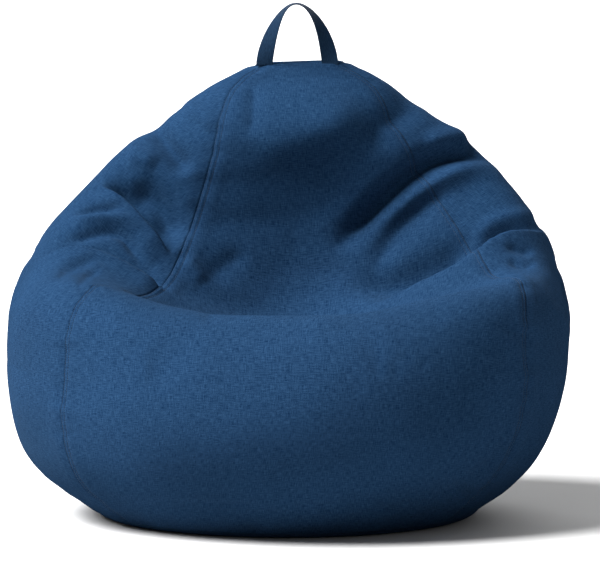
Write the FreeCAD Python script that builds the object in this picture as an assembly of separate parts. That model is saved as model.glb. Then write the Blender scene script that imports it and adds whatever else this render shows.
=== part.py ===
"""Pear-shaped bean bag chair: a sewn cover round a liner of loose beads, sat in so that the seat is hollow.

Millimetres, +Z up, the sitter faces -Y. The origin is the centre of the flat base, on the floor.
A bearing is an angle round +Z in degrees: 0 is the front, 90 the +X side, 180 the back.
A station is a share of the way down the cloth, from the cap's edge at 0 to the base seam at 1.
Each piece is written to parts/NAME.step.
"""

import FreeCAD, Part

import math
import os

from FreeCAD import Base

# Overall sizes of the filled bag, without the handle
bag_width = 902.0
bag_depth = 880.0
bag_height = 717.0
lean_x = 20.0  # the filled peak slumps this far to +X

# Cloth
cover_cloth = 1.6
liner_cloth = 1.0
ease = 1.2  # air between one layer and the next
seam_gap = 0.8  # between neighbouring panels, where the sewing thread runs
front_seam_bearing = 55.0
back_seam_bearing = 125.0

# Cap at the peak, and its distance behind the centre of the base
cap_length = 132.0
cap_width = 50.0
cap_setback = 140.0
liner_top_drop = 6.0  # the liner's top lies this far under the cap

# Base disc: a flat centre, a rim that turns up to the seam, and the first straight stretch of the side
base_seam_radius = 306.0
base_seam_height = 7.0
skirt_slope = 35.0
skirt_width = 20.0
liner_floor = 4.2  # height of the liner's base over the floor
liner_skirt_inset = 9.0  # the liner stands back from the skirt, to clear the zip
filling_skirt_inset = 16.0

# Zips: a coil on two tapes, in a slot that is cut from the panel above the base seam
zip_slot_width = 18.0
slot_reach = 6.0  # how far the slot is cut beyond the cloth, below, inside and outside
zip_tape = 0.7
zip_tape_overlap = 6.0  # the upper tape reaches this far behind the cloth
zip_tape_edge = 0.4  # from the base seam to the lower tape
coil_width = 2.4
coil_height = 2.4
coil_gap = 1.3
coil_recess = 2.1  # the coil's foot lies this far under the outside of the cloth
zip_end_margin = 1.2  # degrees from the slot's end to the coil's end
cover_zip_half_arc = 50.0
liner_zip_half_arc = 34.0
slider_length = 9.0
slider_width = 9.0
slider_plate = 1.2
slider_clearance = 0.4
slider_web = 0.5
slider_eye_height = 1.6
slider_rest_inset = 2.0  # degrees from the coil's end to the slider at rest
stop_length = 3.0
garage_length = 44.0
garage_cloth = 0.8
trim_clearance = 0.3  # between the cover's cloth and what is sewn on its outside

# Handle: a strap that stands in an arch and turns a quarter between each foot and the crown
strap_width = 27.0
strap_thickness = 2.4
handle_end_margin = 15.5  # from the cap's end to the middle of a foot
handle_span = cap_length - 2 * handle_end_margin
handle_height = 95.0  # to the middle of the crown
handle_inset = 1.8  # from the cap's front edge to the strap's middle
foot_clearance = 1.6
tail_length = 20.0
tail_thickness = 1.8  # the strap pressed flat in the seam
tail_setback = 4.0  # from the strap's back to the tail, which lies under the cap's seam

# Care label
label_length = 30.0
label_width = 19.0
label_cloth = 0.6

# Profiles of the filled cloth, one for each of five bearings, from under the cap to above the skirt.
# Each point is (x, y, z) in shares of half the width, half the depth and the height.
FRONT = [
    (0, 0.21, 0.965), (0, 0.10, 0.872), (0, 0.15, 0.739), (0, 0.14, 0.593), (0, 0.01, 0.444),
    (0, -0.285, 0.39), (0, -0.545, 0.46), (0, -0.75, 0.488), (0, -0.966, 0.349), (0, -0.943, 0.153),
]
FRONT_SEAM = [
    (0.235, 0.241, 0.957), (0.337, 0.182, 0.862), (0.408, 0.164, 0.753), (0.475, 0.109, 0.653),
    (0.554, -0.045, 0.572), (0.643, -0.25, 0.537), (0.727, -0.455, 0.551), (0.78, -0.561, 0.481),
    (0.812, -0.582, 0.328), (0.736, -0.527, 0.126),
]
SIDE = [
    (0.284, 0.341, 0.96), (0.47, 0.345, 0.884), (0.634, 0.314, 0.812), (0.758, 0.255, 0.728),
    (0.856, 0.191, 0.644), (0.918, 0.127, 0.572), (0.962, 0.073, 0.502), (0.991, 0.034, 0.425),
    (1.0, 0, 0.314), (0.891, 0, 0.119),
]
BACK_SEAM = [
    (0.204, 0.445, 0.951), (0.333, 0.545, 0.862), (0.455, 0.625, 0.775), (0.554, 0.67, 0.697),
    (0.632, 0.693, 0.625), (0.692, 0.693, 0.558), (0.743, 0.682, 0.488), (0.78, 0.659, 0.418),
    (0.803, 0.618, 0.307), (0.732, 0.541, 0.119),
]
BACK = [
    (0, 0.489, 0.954), (0, 0.648, 0.868), (0, 0.768, 0.781), (0, 0.859, 0.695), (0, 0.92, 0.614),
    (0, 0.959, 0.537), (0, 0.982, 0.46), (0, 0.995, 0.384), (0, 0.986, 0.286), (0, 0.909, 0.119),
]
# Outline of the cap at the same bearings, in shares of its half length and half width
CAP = [(0, -1.0), (0.93, -0.86), (1.0, 0), (0.93, 0.86), (0, 1.0)]

BEARINGS = [0.0, front_seam_bearing, 90.0, back_seam_bearing, 180.0]
# The profiles in order round the bag, as (index, side), and their bearings
PROFILES_ROUND = [(0, 1), (1, 1), (2, 1), (3, 1), (4, 1), (3, -1), (2, -1), (1, -1)]
WHOLE_TURN = 360.0
ROUND = [BEARINGS[i] if side > 0 else WHOLE_TURN - BEARINGS[i] for i, side in PROFILES_ROUND]
SIDE_AT = 2
BACK_AT = 4
ELLIPSE_SHARE = 0.95  # of the ring's own half length and half width

RINGS_PER_STATION = 2
DEGREES_PER_POINT = 8.0
STEP = 0.004  # share of the cloth, for measuring slopes
TURN_STEP = 0.5  # degrees, for the same

slope = math.radians(skirt_slope)


def vector(x, y, z):
    return Base.Vector(x, y, z)


def on_circle(radius, bearing, z):
    """The point at a bearing on a circle round the Z axis."""
    a = math.radians(bearing)
    return vector(radius * math.sin(a), -radius * math.cos(a), z)


def on_skirt(along, out):
    """(radius, height) on the skirt's cone: along it from the base seam, and out from its surface."""
    radius = base_seam_radius + along * math.cos(slope) + out * math.sin(slope)
    height = base_seam_height + along * math.sin(slope) - out * math.cos(slope)
    return radius, height


def cap_point(share, shrink, z):
    """A point of the cap's outline, moved in by shrink."""
    return vector(
        lean_x + share[0] * (cap_length / 2 - shrink),
        cap_setback + share[1] * (cap_width / 2 - shrink),
        z,
    )


def filled_point(share):
    """A point of the filled bag from its shares of half the width, half the depth and the height."""
    x, y, z = share
    return vector(x * bag_width / 2 + lean_x * z * z, y * bag_depth / 2, z * bag_height)


def profile_points(index, side):
    """The points of one profile from cap to base seam; side is 1, or -1 for the mirrored one."""
    inner = [FRONT, FRONT_SEAM, SIDE, BACK_SEAM, BACK][index]
    points = [cap_point((side * CAP[index][0], CAP[index][1]), 0, bag_height)]
    points += [filled_point((side * x, y, z)) for x, y, z in inner]
    for along in (skirt_width, 0):
        radius, height = on_skirt(along, 0)
        points.append(on_circle(radius, side * BEARINGS[index], height))
    return points


def stations_of(profiles):
    """How far down the cloth each profile point lies, on average over the profiles, from 0 to 1."""
    travelled = [0.0]
    for k in range(1, len(profiles[0])):
        steps = [(p[k] - p[k - 1]).Length for p in profiles]
        travelled.append(travelled[-1] + sum(steps) / len(steps))
    return [d / travelled[-1] for d in travelled]


def spline(points, parameters):
    curve = Part.BSplineCurve()
    curve.interpolate(Points=points, Parameters=parameters)
    return curve


def closed_spline(points, bearings):
    """A closed curve with no kink. It is drawn three times round, and the middle lap is kept."""
    count = len(points)
    laps = range(-count, 2 * count + 1)
    curve = spline(
        [points[i % count] for i in laps],
        [bearings[i % count] + WHOLE_TURN * (i // count) for i in laps],
    )
    curve.segment(0, WHOLE_TURN)
    return curve


class Ring:
    """A closed curve through a point for each profile: an ellipse, and a spline for what it leaves over.

    The ellipse is a little small, so that the rest isn't nothing where the ring is a true circle.
    """

    def __init__(self, points):
        self.half_length = ELLIPSE_SHARE * (points[SIDE_AT].x - points[-SIDE_AT].x) / 2
        self.half_width = ELLIPSE_SHARE * (points[BACK_AT].y - points[0].y) / 2
        rest = [p - self.ellipse(b) for p, b in zip(points, ROUND)]
        self.rest = closed_spline(rest, ROUND)

    def ellipse(self, bearing):
        a = math.radians(bearing)
        return vector(self.half_length * math.sin(a), -self.half_width * math.cos(a), 0)

    def point(self, bearing):
        return self.ellipse(bearing) + self.rest.value(bearing % WHOLE_TURN)


class FilledCloth:
    """The outside of the filled cover, as points by station and bearing."""

    def __init__(self):
        points = [profile_points(i, side) for i, side in PROFILES_ROUND]
        self.stations = stations_of(points)
        self.profiles = [spline(p, self.stations) for p in points]
        self.rings = {}

    def point(self, station, bearing):
        if station not in self.rings:
            self.rings[station] = Ring([p.value(station) for p in self.profiles])
        return self.rings[station].point(bearing)

    def inset_point(self, station, bearing, inset):
        """The point inset along the cloth's own normal."""
        down = self.point(min(1.0, station + STEP), bearing) - self.point(max(0.0, station - STEP), bearing)
        onwards = self.point(station, bearing + TURN_STEP) - self.point(station, bearing - TURN_STEP)
        inwards = onwards.cross(down)
        inwards.normalize()
        return self.point(station, bearing) + inwards * inset


cloth = FilledCloth()


def ring_stations():
    """The stations of the sections that a loft passes through."""
    found = [0.0]
    for low, high in zip(cloth.stations, cloth.stations[1:]):
        for k in range(1, RINGS_PER_STATION + 1):
            found.append(low + (high - low) * k / RINGS_PER_STATION)
    return found


def cap_ring(shrink, z):
    """The cap's outline, moved in by shrink."""
    return Ring([cap_point((side * CAP[i][0], CAP[i][1]), shrink, z) for i, side in PROFILES_ROUND])


def skirt_share(station):
    """0 above the last profile point, rising to 1 at the skirt and below."""
    low, high = cloth.stations[-3], cloth.stations[-2]
    share = min(1.0, max(0.0, (station - low) / (high - low)))
    return share * share * (3 - 2 * share)


def layer_point(station, bearing, inset, skirt_inset, top_drop, top_shrink):
    """A point of a layer inside the cover. Its first ring lies flat, and so does its last."""
    if station == 0.0:
        return cap_ring(top_shrink, bag_height - top_drop).point(bearing)
    deep = inset + (skirt_inset - inset) * skirt_share(station)
    if station == 1.0:
        radius, height = on_skirt(0, -deep)
        return on_circle(radius, bearing, height)
    return cloth.inset_point(station, bearing, deep)


def edge_of(bearings, place):
    """A spline edge through place(bearing) for each bearing."""
    return spline([place(b) for b in bearings], bearings).toShape()


def closed_edge(place):
    """A closed spline edge through place(bearing) all the way round."""
    count = round(WHOLE_TURN / DEGREES_PER_POINT)
    bearings = [WHOLE_TURN * k / count for k in range(count)]
    return closed_spline([place(b) for b in bearings], bearings).toShape()


def panel(first, last, outer, thickness):
    """A shell panel between two bearings. outer is layer_point's inset, skirt_inset, top_drop, top_shrink."""
    count = max(3, round((last - first) / DEGREES_PER_POINT))
    bearings = [first + (last - first) * k / count for k in range(count + 1)]
    inset, skirt_inset, top_drop, top_shrink = outer
    wires = []
    for station in ring_stations():
        def outside(b):
            return layer_point(station, b, inset, skirt_inset, top_drop, top_shrink)

        def inside(b):
            if station == 1.0:
                radius, height = on_skirt(0, -skirt_inset)
                return on_circle(radius - thickness / math.sin(slope), b, height)
            deep, skirt_deep = inset + thickness, skirt_inset + thickness
            return layer_point(station, b, deep, skirt_deep, top_drop, top_shrink + 2 * thickness)

        outer_edge = edge_of(bearings, outside)
        inner_edge = edge_of(bearings, inside)
        sides = [
            Part.makeLine(outside(last), inside(last)),
            Part.makeLine(inside(first), outside(first)),
        ]
        wires.append(Part.Wire(Part.__sortEdges__([outer_edge, sides[0], inner_edge, sides[1]])))
    return Part.makeLoft(wires, True, False)


def gap_bearing():
    """Half the gap between panels, in degrees at the base seam."""
    return math.degrees(seam_gap / 2 / base_seam_radius)


def revolved(points, first, last):
    """The closed outline of (radius, height) points, turned round the Z axis between two bearings."""
    at = [vector(r, 0, z) for r, z in points]
    face = Part.Face(Part.makePolygon(at + at[:1]))
    face.rotate(vector(0, 0, 0), vector(0, 0, 1), first - 90.0)
    return face.revolve(vector(0, 0, 0), vector(0, 0, 1), last - first)


def band(along, out, first, last):
    """A strip on the skirt's cone: (from, to) along it and out from it, between two bearings."""
    corners = [(along[0], out[0]), (along[1], out[0]), (along[1], out[1]), (along[0], out[1])]
    return revolved([on_skirt(a, o) for a, o in corners], first, last)


def rim_radius(rise):
    """The radius of the rim's arc, which is flat at the base and has the skirt's slope at the seam."""
    return rise / (1 - math.cos(slope))


def base_disc(inset, floor, thickness):
    """A flat disc of cloth whose rim turns up to the seam of a layer that is inset from the skirt."""
    seam_radius, seam_height = on_skirt(0, -inset)
    arc = rim_radius(seam_height - floor)
    flat = seam_radius - arc * math.sin(slope)
    centre = vector(flat, 0, floor + arc)

    def rim(radius, angle):
        return centre + vector(radius * math.sin(angle), 0, -radius * math.cos(angle))

    inner = arc - thickness
    outline = [
        Part.makeLine(vector(0, 0, floor), rim(arc, 0)),
        Part.Arc(rim(arc, 0), rim(arc, slope / 2), rim(arc, slope)).toShape(),
        Part.makeLine(rim(arc, slope), rim(inner, slope)),
        Part.Arc(rim(inner, slope), rim(inner, slope / 2), rim(inner, 0)).toShape(),
        Part.makeLine(rim(inner, 0), vector(0, 0, floor + thickness)),
        Part.makeLine(vector(0, 0, floor + thickness), vector(0, 0, floor)),
    ]
    disc = Part.Face(Part.Wire(outline)).revolve(vector(0, 0, 0), vector(0, 0, 1), WHOLE_TURN)
    above = Part.makeCylinder(seam_radius + arc, arc, vector(0, 0, seam_height))
    return disc.cut(above)


def filling():
    """The beads as one solid: rings like the cloth's, then those of the rim under it."""
    inset = cover_cloth + liner_cloth + 2 * ease
    drop = liner_top_drop + liner_cloth + ease
    wires = []
    for station in ring_stations():
        def outside(b):
            return layer_point(station, b, inset, filling_skirt_inset, drop, drop)

        wires.append(Part.Wire(closed_edge(outside)))
    seam_radius, seam_height = on_skirt(0, -filling_skirt_inset)
    floor = liner_floor + liner_cloth + ease
    arc = rim_radius(seam_height - floor)
    flat = seam_radius - arc * math.sin(slope)
    for turn in (slope * 2 / 3, slope / 3, 0):
        def on_rim(b):
            return on_circle(flat + arc * math.sin(turn), b, floor + arc * (1 - math.cos(turn)))

        wires.append(Part.Wire(closed_edge(on_rim)))
    return Part.makeLoft(wires, True, False)


def top_plate(shrink, z, thickness):
    """A flat plate with the cap's outline, moved in by shrink."""
    outline = Part.Wire(closed_edge(cap_ring(shrink, z).point))
    return Part.Face(outline).extrude(vector(0, 0, thickness))


def slot_cutter(depth, half_arc):
    """What is cut from a panel's lower edge for a zip, for a layer that is depth inside the skirt."""
    out = (-depth - slot_reach, -depth + slot_reach)
    return band((-slot_reach, zip_slot_width), out, 180 - half_arc, 180 + half_arc)


def zip_middle():
    """How far along the skirt the two coils meet."""
    return zip_slot_width / 2


def zip_strips(depth, half_arc):
    """The two tapes and the two coils of a zip, for a layer that is depth inside the skirt."""
    first, last = 180 - half_arc + zip_end_margin, 180 + half_arc - zip_end_margin
    foot = -depth - coil_recess
    inner = coil_gap / 2
    outer = inner + coil_width
    middle = zip_middle()
    under = (foot - zip_tape, foot)
    coil = (foot, foot + coil_height)
    return {
        "lower_tape": band((zip_tape_edge, middle - inner), under, first, last),
        "upper_tape": band((middle + inner, zip_slot_width + zip_tape_overlap), under, first, last),
        "lower_coil": band((middle - outer, middle - inner), coil, first, last),
        "upper_coil": band((middle + inner, middle + outer), coil, first, last),
    }


def zip_stops(depth, half_arc):
    """A crimped stop at each end of the coils."""
    foot = -depth - coil_recess
    half = coil_gap / 2 + coil_width
    turn = math.degrees(stop_length / base_seam_radius)
    along = (zip_middle() - half, zip_middle() + half)
    out = (foot, foot + coil_height)
    near = 180 - half_arc + zip_end_margin
    far = 180 + half_arc - zip_end_margin
    return Part.makeCompound([band(along, out, near - turn, near), band(along, out, far, far + turn)])


def zip_slider(depth, half_arc):
    """A child-safe slider with no pull: two plates joined by a web between the coils, and a small eye."""
    foot = -depth - coil_recess
    under_tape = foot - zip_tape - slider_clearance
    over_coil = foot + coil_height + slider_clearance
    half_length, half_width = slider_length / 2, slider_width / 2
    nose = slider_width / 4

    def plate(out):
        corners = [
            (-half_length, -half_width), (half_length - nose, -half_width), (half_length, -half_width + nose),
            (half_length, half_width - nose), (half_length - nose, half_width), (-half_length, half_width),
        ]
        at = [vector(x, y, out) for x, y in corners]
        return Part.Face(Part.makePolygon(at + at[:1])).extrude(vector(0, 0, slider_plate))

    web = Part.makeBox(
        half_length, slider_web, over_coil - under_tape, vector(0, -slider_web / 2, under_tape)
    )
    eye_top = over_coil + slider_plate
    eye_start, eye_axis = vector(0, -slider_web, eye_top), vector(0, 1, 0)
    eye = Part.makeCylinder(slider_eye_height, slider_web * 2, eye_start, eye_axis)
    hole = Part.makeCylinder(slider_eye_height / 2, slider_web * 2, eye_start, eye_axis)
    below = Part.makeBox(
        slider_length, slider_width, slider_eye_height * 2,
        vector(-half_length, -half_width, eye_top - slider_eye_height * 2),
    )
    ring = eye.cut(hole).cut(below)
    solid = plate(under_tape - slider_plate).fuse([web, plate(over_coil), ring]).removeSplitter()
    bearing = 180 - half_arc + zip_end_margin + slider_rest_inset
    turned = math.radians(bearing - 90)
    radial = vector(math.cos(turned), math.sin(turned), 0)
    tangent = vector(-math.sin(turned), math.cos(turned), 0)
    up = vector(0, 0, 1)
    along = radial * math.cos(slope) + up * math.sin(slope)
    out = radial * math.sin(slope) - up * math.cos(slope)
    radius, height = on_skirt(zip_middle(), 0)
    origin = radial * radius + up * height
    place = FreeCAD.Matrix(
        tangent.x, along.x, out.x, origin.x,
        tangent.y, along.y, out.y, origin.y,
        tangent.z, along.z, out.z, origin.z,
        0, 0, 0, 1,
    )
    return solid.transformGeometry(place)


def zip_garage():
    """A sewn pocket over the closed end of the cover's zip, where the slider parks."""
    turn = math.degrees(garage_length / base_seam_radius)
    first = 180 - cover_zip_half_arc - turn / 4
    last = first + turn
    over = coil_height - coil_recess + slider_clearance + slider_plate + slider_eye_height + slider_clearance
    stand = trim_clearance
    near = -2 * garage_cloth
    far = zip_slot_width + 2 * garage_cloth
    roof = band((near, far), (over, over + garage_cloth), first, last)
    lower_leg = band((near, near + garage_cloth), (stand, over), first, last)
    upper_leg = band((far - garage_cloth, far), (stand, over), first, last)
    return roof.fuse([lower_leg, upper_leg]).removeSplitter()


def care_label():
    """A blank label that is caught in the base seam past the open end of the zip."""
    first = 180 + cover_zip_half_arc + math.degrees(label_length / 2 / base_seam_radius)
    last = first + math.degrees(label_length / base_seam_radius)
    stand = 2 * trim_clearance
    return band((0, label_width), (stand, stand + label_cloth), first, last)


def handle_foot_y():
    """The strap stands just inside the cap's front edge."""
    return cap_setback - cap_width / 2 + handle_inset


def handle_strap():
    """The arch of the strap. Its width lies across the seam at the feet, and front to back at the crown."""
    sections = 16
    base = bag_height + cover_cloth + foot_clearance + strap_thickness / 2
    wires = []
    for k in range(sections + 1):
        turn = math.pi * k / sections
        twist = math.pi / 2 * math.sin(turn)
        outward = vector(math.cos(turn) * handle_height, 0, math.sin(turn) * handle_span / 2)
        outward.normalize()
        across = outward * math.cos(twist) + vector(0, math.sin(twist), 0)
        tangent = vector(-outward.z, 0, outward.x)
        thick = across.cross(tangent)
        middle = vector(
            lean_x + math.cos(turn) * handle_span / 2,
            handle_foot_y(),
            base + math.sin(turn) * handle_height,
        )
        half, deep = strap_width / 2, strap_thickness / 2
        corners = [
            middle + across * half + thick * deep,
            middle - across * half + thick * deep,
            middle - across * half - thick * deep,
            middle + across * half - thick * deep,
        ]
        wires.append(Part.makePolygon(corners + corners[:1]))
    return Part.makeLoft(wires, True, False)


def handle_tail(side):
    """The end of the strap that is sewn in under the cap; side is -1 or 1."""
    top = bag_height - ease
    return Part.makeBox(
        strap_width,
        tail_length,
        tail_thickness,
        vector(
            lean_x + side * handle_span / 2 - strap_width / 2,
            handle_foot_y() + strap_thickness / 2 + tail_setback,
            top - tail_thickness,
        ),
    )


def cover_nodes():
    """The cover's panels, cap and base, its zip, and what is sewn on by the zip."""
    gap = gap_bearing()
    layer = (0, 0, 0, 0)
    front, back = front_seam_bearing, back_seam_bearing
    nodes = {
        "cover_front_panel": panel(-front + gap, front - gap, layer, cover_cloth),
        "cover_right_panel": panel(front + gap, back - gap, layer, cover_cloth),
        "cover_left_panel": panel(-back + gap, -front - gap, layer, cover_cloth),
        "cover_top_cap": top_plate(0, bag_height, cover_cloth),
        "cover_base_panel": base_disc(0, 0, cover_cloth),
        "cover_zip_slider": zip_slider(0, cover_zip_half_arc),
        "cover_zip_stops": zip_stops(0, cover_zip_half_arc),
        "cover_zip_garage": zip_garage(),
        "care_label": care_label(),
    }
    whole_back = panel(back + gap, WHOLE_TURN - back - gap, layer, cover_cloth)
    nodes["cover_back_panel"] = whole_back.cut(slot_cutter(0, cover_zip_half_arc))
    for name, shape in zip_strips(0, cover_zip_half_arc).items():
        nodes["cover_zip_" + name] = shape
    return nodes


def handle_nodes():
    """The carry handle and its two sewn-in ends."""
    return {
        "handle_strap": handle_strap(),
        "handle_left_tail": handle_tail(-1),
        "handle_right_tail": handle_tail(1),
    }


def liner_nodes():
    """The inner bag and the zip that the beads are filled through."""
    gap = gap_bearing()
    inset = cover_cloth + ease
    depth = liner_skirt_inset
    layer = (inset, depth, liner_top_drop, liner_top_drop)
    back = panel(90 + gap, 270 - gap, layer, liner_cloth)
    plate_shrink = liner_top_drop
    nodes = {
        "liner_front_half": panel(-90 + gap, 90 - gap, layer, liner_cloth),
        "liner_back_half": back.cut(slot_cutter(depth, liner_zip_half_arc)),
        "liner_top_disc": top_plate(plate_shrink, bag_height - liner_top_drop, liner_cloth),
        "liner_base_disc": base_disc(depth, liner_floor, liner_cloth),
        "liner_zip_slider": zip_slider(depth, liner_zip_half_arc),
        "liner_zip_stops": zip_stops(depth, liner_zip_half_arc),
    }
    for name, shape in zip_strips(depth, liner_zip_half_arc).items():
        nodes["liner_zip_" + name] = shape
    return nodes


def main():
    os.makedirs("parts", exist_ok=True)
    nodes = {**cover_nodes(), **handle_nodes(), **liner_nodes(), "bead_filling": filling()}
    for name, shape in sorted(nodes.items()):
        shape.exportStep(os.path.join("parts", name + ".step"))
        volume = round(shape.Volume / 1000, 2)
        print(name, "solids", len(shape.Solids), "valid", shape.isValid(), "cm3", volume)


main()
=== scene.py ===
"""A sat-in, pear-shaped bean bag chair in heathered blue cloth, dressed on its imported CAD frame.

Metres, +Z up, the sitter faces -Y. A bearing is an angle round +Z in degrees: 0 at the front, 90 at the +X
side, 180 at the back. A station is a share of the way down the cloth, from the cap at 0 to the base seam at 1.
Folds are drawn on the upright plane through the chair's middle, as the eye in front of it sees them.
"""

import math

import bmesh
import bpy
import numpy as np
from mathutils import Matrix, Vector


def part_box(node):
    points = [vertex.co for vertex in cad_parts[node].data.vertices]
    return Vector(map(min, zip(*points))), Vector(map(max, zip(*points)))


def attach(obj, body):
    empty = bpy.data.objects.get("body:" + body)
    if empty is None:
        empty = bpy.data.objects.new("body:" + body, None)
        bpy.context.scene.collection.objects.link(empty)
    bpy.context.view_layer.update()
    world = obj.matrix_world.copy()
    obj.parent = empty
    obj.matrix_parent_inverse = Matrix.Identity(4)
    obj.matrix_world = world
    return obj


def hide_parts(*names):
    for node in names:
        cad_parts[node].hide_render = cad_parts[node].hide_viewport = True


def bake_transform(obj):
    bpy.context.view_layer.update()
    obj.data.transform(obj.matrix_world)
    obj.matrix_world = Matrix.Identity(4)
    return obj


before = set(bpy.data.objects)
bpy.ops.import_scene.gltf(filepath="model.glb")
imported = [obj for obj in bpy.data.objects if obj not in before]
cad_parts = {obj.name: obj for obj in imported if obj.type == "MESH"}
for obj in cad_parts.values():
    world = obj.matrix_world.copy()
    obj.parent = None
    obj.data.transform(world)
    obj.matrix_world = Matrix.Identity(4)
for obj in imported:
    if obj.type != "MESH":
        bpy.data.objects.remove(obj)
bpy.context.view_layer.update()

MM = 0.001

# ---- sizes

BAG_WIDTH = 902 * MM
BAG_DEPTH = 880 * MM
BAG_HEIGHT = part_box("cover_top_cap")[0].z
CLOTH = 1.6 * MM
EASE = 1.2 * MM
LINER_CLOTH = 1.0 * MM

BASE_RADIUS, _, BASE_SEAM_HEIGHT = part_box("cover_base_panel")[1]
SKIRT_SLOPE = math.radians(35)
SKIRT_WIDTH = 20 * MM

CAP_LOW, CAP_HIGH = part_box("cover_top_cap")
CAP_CENTRE = (CAP_LOW + CAP_HIGH) / 2
CAP_LENGTH = 132 * MM
CAP_WIDTH = 50 * MM
LEAN = CAP_CENTRE.x
CAP_TILT = 0.04

ZIP_SLOT = 18 * MM
ZIP_HALF_ARC = 50.0
EDGE_STITCH = 1.7 * MM  # from a seam to the row of stitches beside it
TOPSTITCH = 9 * MM  # from a front seam to its second row

# Profiles of the filled cloth at five bearings, in shares of half the width, half the depth and the height
FRONT = [
    (0, 0.21, 0.965), (0, 0.10, 0.872), (0, 0.15, 0.739), (0, 0.14, 0.593), (0, 0.01, 0.444),
    (0, -0.285, 0.39), (0, -0.545, 0.46), (0, -0.75, 0.488), (0, -0.966, 0.349), (0, -0.943, 0.153),
]
FRONT_SEAM = [
    (0.235, 0.241, 0.957), (0.337, 0.182, 0.862), (0.408, 0.164, 0.753), (0.475, 0.109, 0.653),
    (0.554, -0.045, 0.572), (0.643, -0.25, 0.537), (0.727, -0.455, 0.551), (0.78, -0.561, 0.481),
    (0.812, -0.582, 0.328), (0.736, -0.527, 0.126),
]
SIDE = [
    (0.284, 0.341, 0.96), (0.47, 0.345, 0.884), (0.634, 0.314, 0.812), (0.758, 0.255, 0.728),
    (0.856, 0.191, 0.644), (0.918, 0.127, 0.572), (0.962, 0.073, 0.502), (0.991, 0.034, 0.425),
    (1.0, 0, 0.314), (0.891, 0, 0.119),
]
BACK_SEAM = [
    (0.204, 0.445, 0.951), (0.333, 0.545, 0.862), (0.455, 0.625, 0.775), (0.554, 0.67, 0.697),
    (0.632, 0.693, 0.625), (0.692, 0.693, 0.558), (0.743, 0.682, 0.488), (0.78, 0.659, 0.418),
    (0.803, 0.618, 0.307), (0.732, 0.541, 0.119),
]
BACK = [
    (0, 0.489, 0.954), (0, 0.648, 0.868), (0, 0.768, 0.781), (0, 0.859, 0.695), (0, 0.92, 0.614),
    (0, 0.959, 0.537), (0, 0.982, 0.46), (0, 0.995, 0.384), (0, 0.986, 0.286), (0, 0.909, 0.119),
]
CAP_OUTLINE = [(0, -1.0), (0.93, -0.86), (1.0, 0), (0.93, 0.86), (0, 1.0)]
PROFILES = [FRONT, FRONT_SEAM, SIDE, BACK_SEAM, BACK]
BEARINGS = [0.0, 55.0, 90.0, 125.0, 180.0]
PROFILES_ROUND = [(0, 1), (1, 1), (2, 1), (3, 1), (4, 1), (3, -1), (2, -1), (1, -1)]
TURN = 360.0
TURN_RADIANS = 2 * math.pi
ROUND = np.array([BEARINGS[i] if side > 0 else TURN - BEARINGS[i] for i, side in PROFILES_ROUND])
BACK_SEAM_BEARING = BEARINGS[3]

# How far the front seams have crept round from their bearing, by station, as the beads have settled
SEAM_STATIONS = np.array([0, 0.06, 0.15, 0.24, 0.32, 0.41, 0.49, 0.57, 0.63, 0.73, 0.87, 1])
LEFT_SEAM_CREEP = np.array([0, 0, 5, 9, 11, 12, 9, 4, 2, 2, 2, 0])
RIGHT_SEAM_CREEP = np.array([0, 2, 2, 4, 6, 7, 7, 7, 4, 3, 1, 0])

# The eye, and the upright plane through the chair's middle that folds are drawn on
EYE_DISTANCE = 12.0
EYE_ELEVATION = math.radians(6)
LOOK_AT = Vector((0.021, 0, 0.373))
VIEW_WIDTH = 0.966


# ---- splines


def curvatures(knots, period=None):
    """The matrix that turns a cubic spline's values at its knots into its second derivatives there."""
    n = len(knots)
    left, right = np.zeros((n, n)), np.zeros((n, n))
    steps = np.roll(knots, -1) - knots
    if period:
        steps = steps % period
    for i in range(n):
        if period is None and i in (0, n - 1):
            left[i, i] = 1
            continue
        before, after = (i - 1) % n, (i + 1) % n
        h0, h1 = steps[before], steps[i]
        left[i, before], left[i, i], left[i, after] = h0, 2 * (h0 + h1), h1
        right[i, before], right[i, i], right[i, after] = 6 / h0, -6 / h0 - 6 / h1, 6 / h1
    return np.linalg.solve(left, right)


def spline_weights(knots, at, period=None):
    """For each place in at, the share of each knot's value in the cubic spline there."""
    knots = np.asarray(knots, float)
    n = len(knots)
    bend = curvatures(knots, period)
    at = np.asarray(at, float)
    if period:
        at = at % period
    i = np.clip(np.searchsorted(knots, at, side="right") - 1, 0, n - 1 if period else n - 2)
    j = (i + 1) % n
    h = knots[j] - knots[i]
    if period:
        h = h % period
    b = (at - knots[i]) / h
    a = 1 - b
    eye = np.eye(n)
    return (
        a[..., None] * eye[i]
        + b[..., None] * eye[j]
        + ((a**3 - a) * h * h / 6)[..., None] * bend[i]
        + ((b**3 - b) * h * h / 6)[..., None] * bend[j]
    )


def smooth(low, high, x):
    """0 below low, 1 above high, and a smooth step between them."""
    t = np.clip((x - low) / (high - low), 0, 1)
    return t * t * (3 - 2 * t)


# ---- the filled bag's plain surface


def skirt_point(along, out):
    """(radius, height) on the cone above the base seam."""
    radius = BASE_RADIUS + along * math.cos(SKIRT_SLOPE) + out * math.sin(SKIRT_SLOPE)
    height = BASE_SEAM_HEIGHT + along * math.sin(SKIRT_SLOPE) - out * math.cos(SKIRT_SLOPE)
    return radius, height


def profile_points(index, side):
    sx, sy = CAP_OUTLINE[index]
    points = [(LEAN + side * sx * CAP_LENGTH / 2, CAP_CENTRE.y + sy * CAP_WIDTH / 2, BAG_HEIGHT)]
    for x, y, z in PROFILES[index]:
        points.append((side * x * BAG_WIDTH / 2 + LEAN * z * z, y * BAG_DEPTH / 2, z * BAG_HEIGHT))
    a = math.radians(side * BEARINGS[index])
    for along in (SKIRT_WIDTH, 0):
        radius, height = skirt_point(along, 0)
        points.append((radius * math.sin(a), -radius * math.cos(a), height))
    return points


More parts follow.
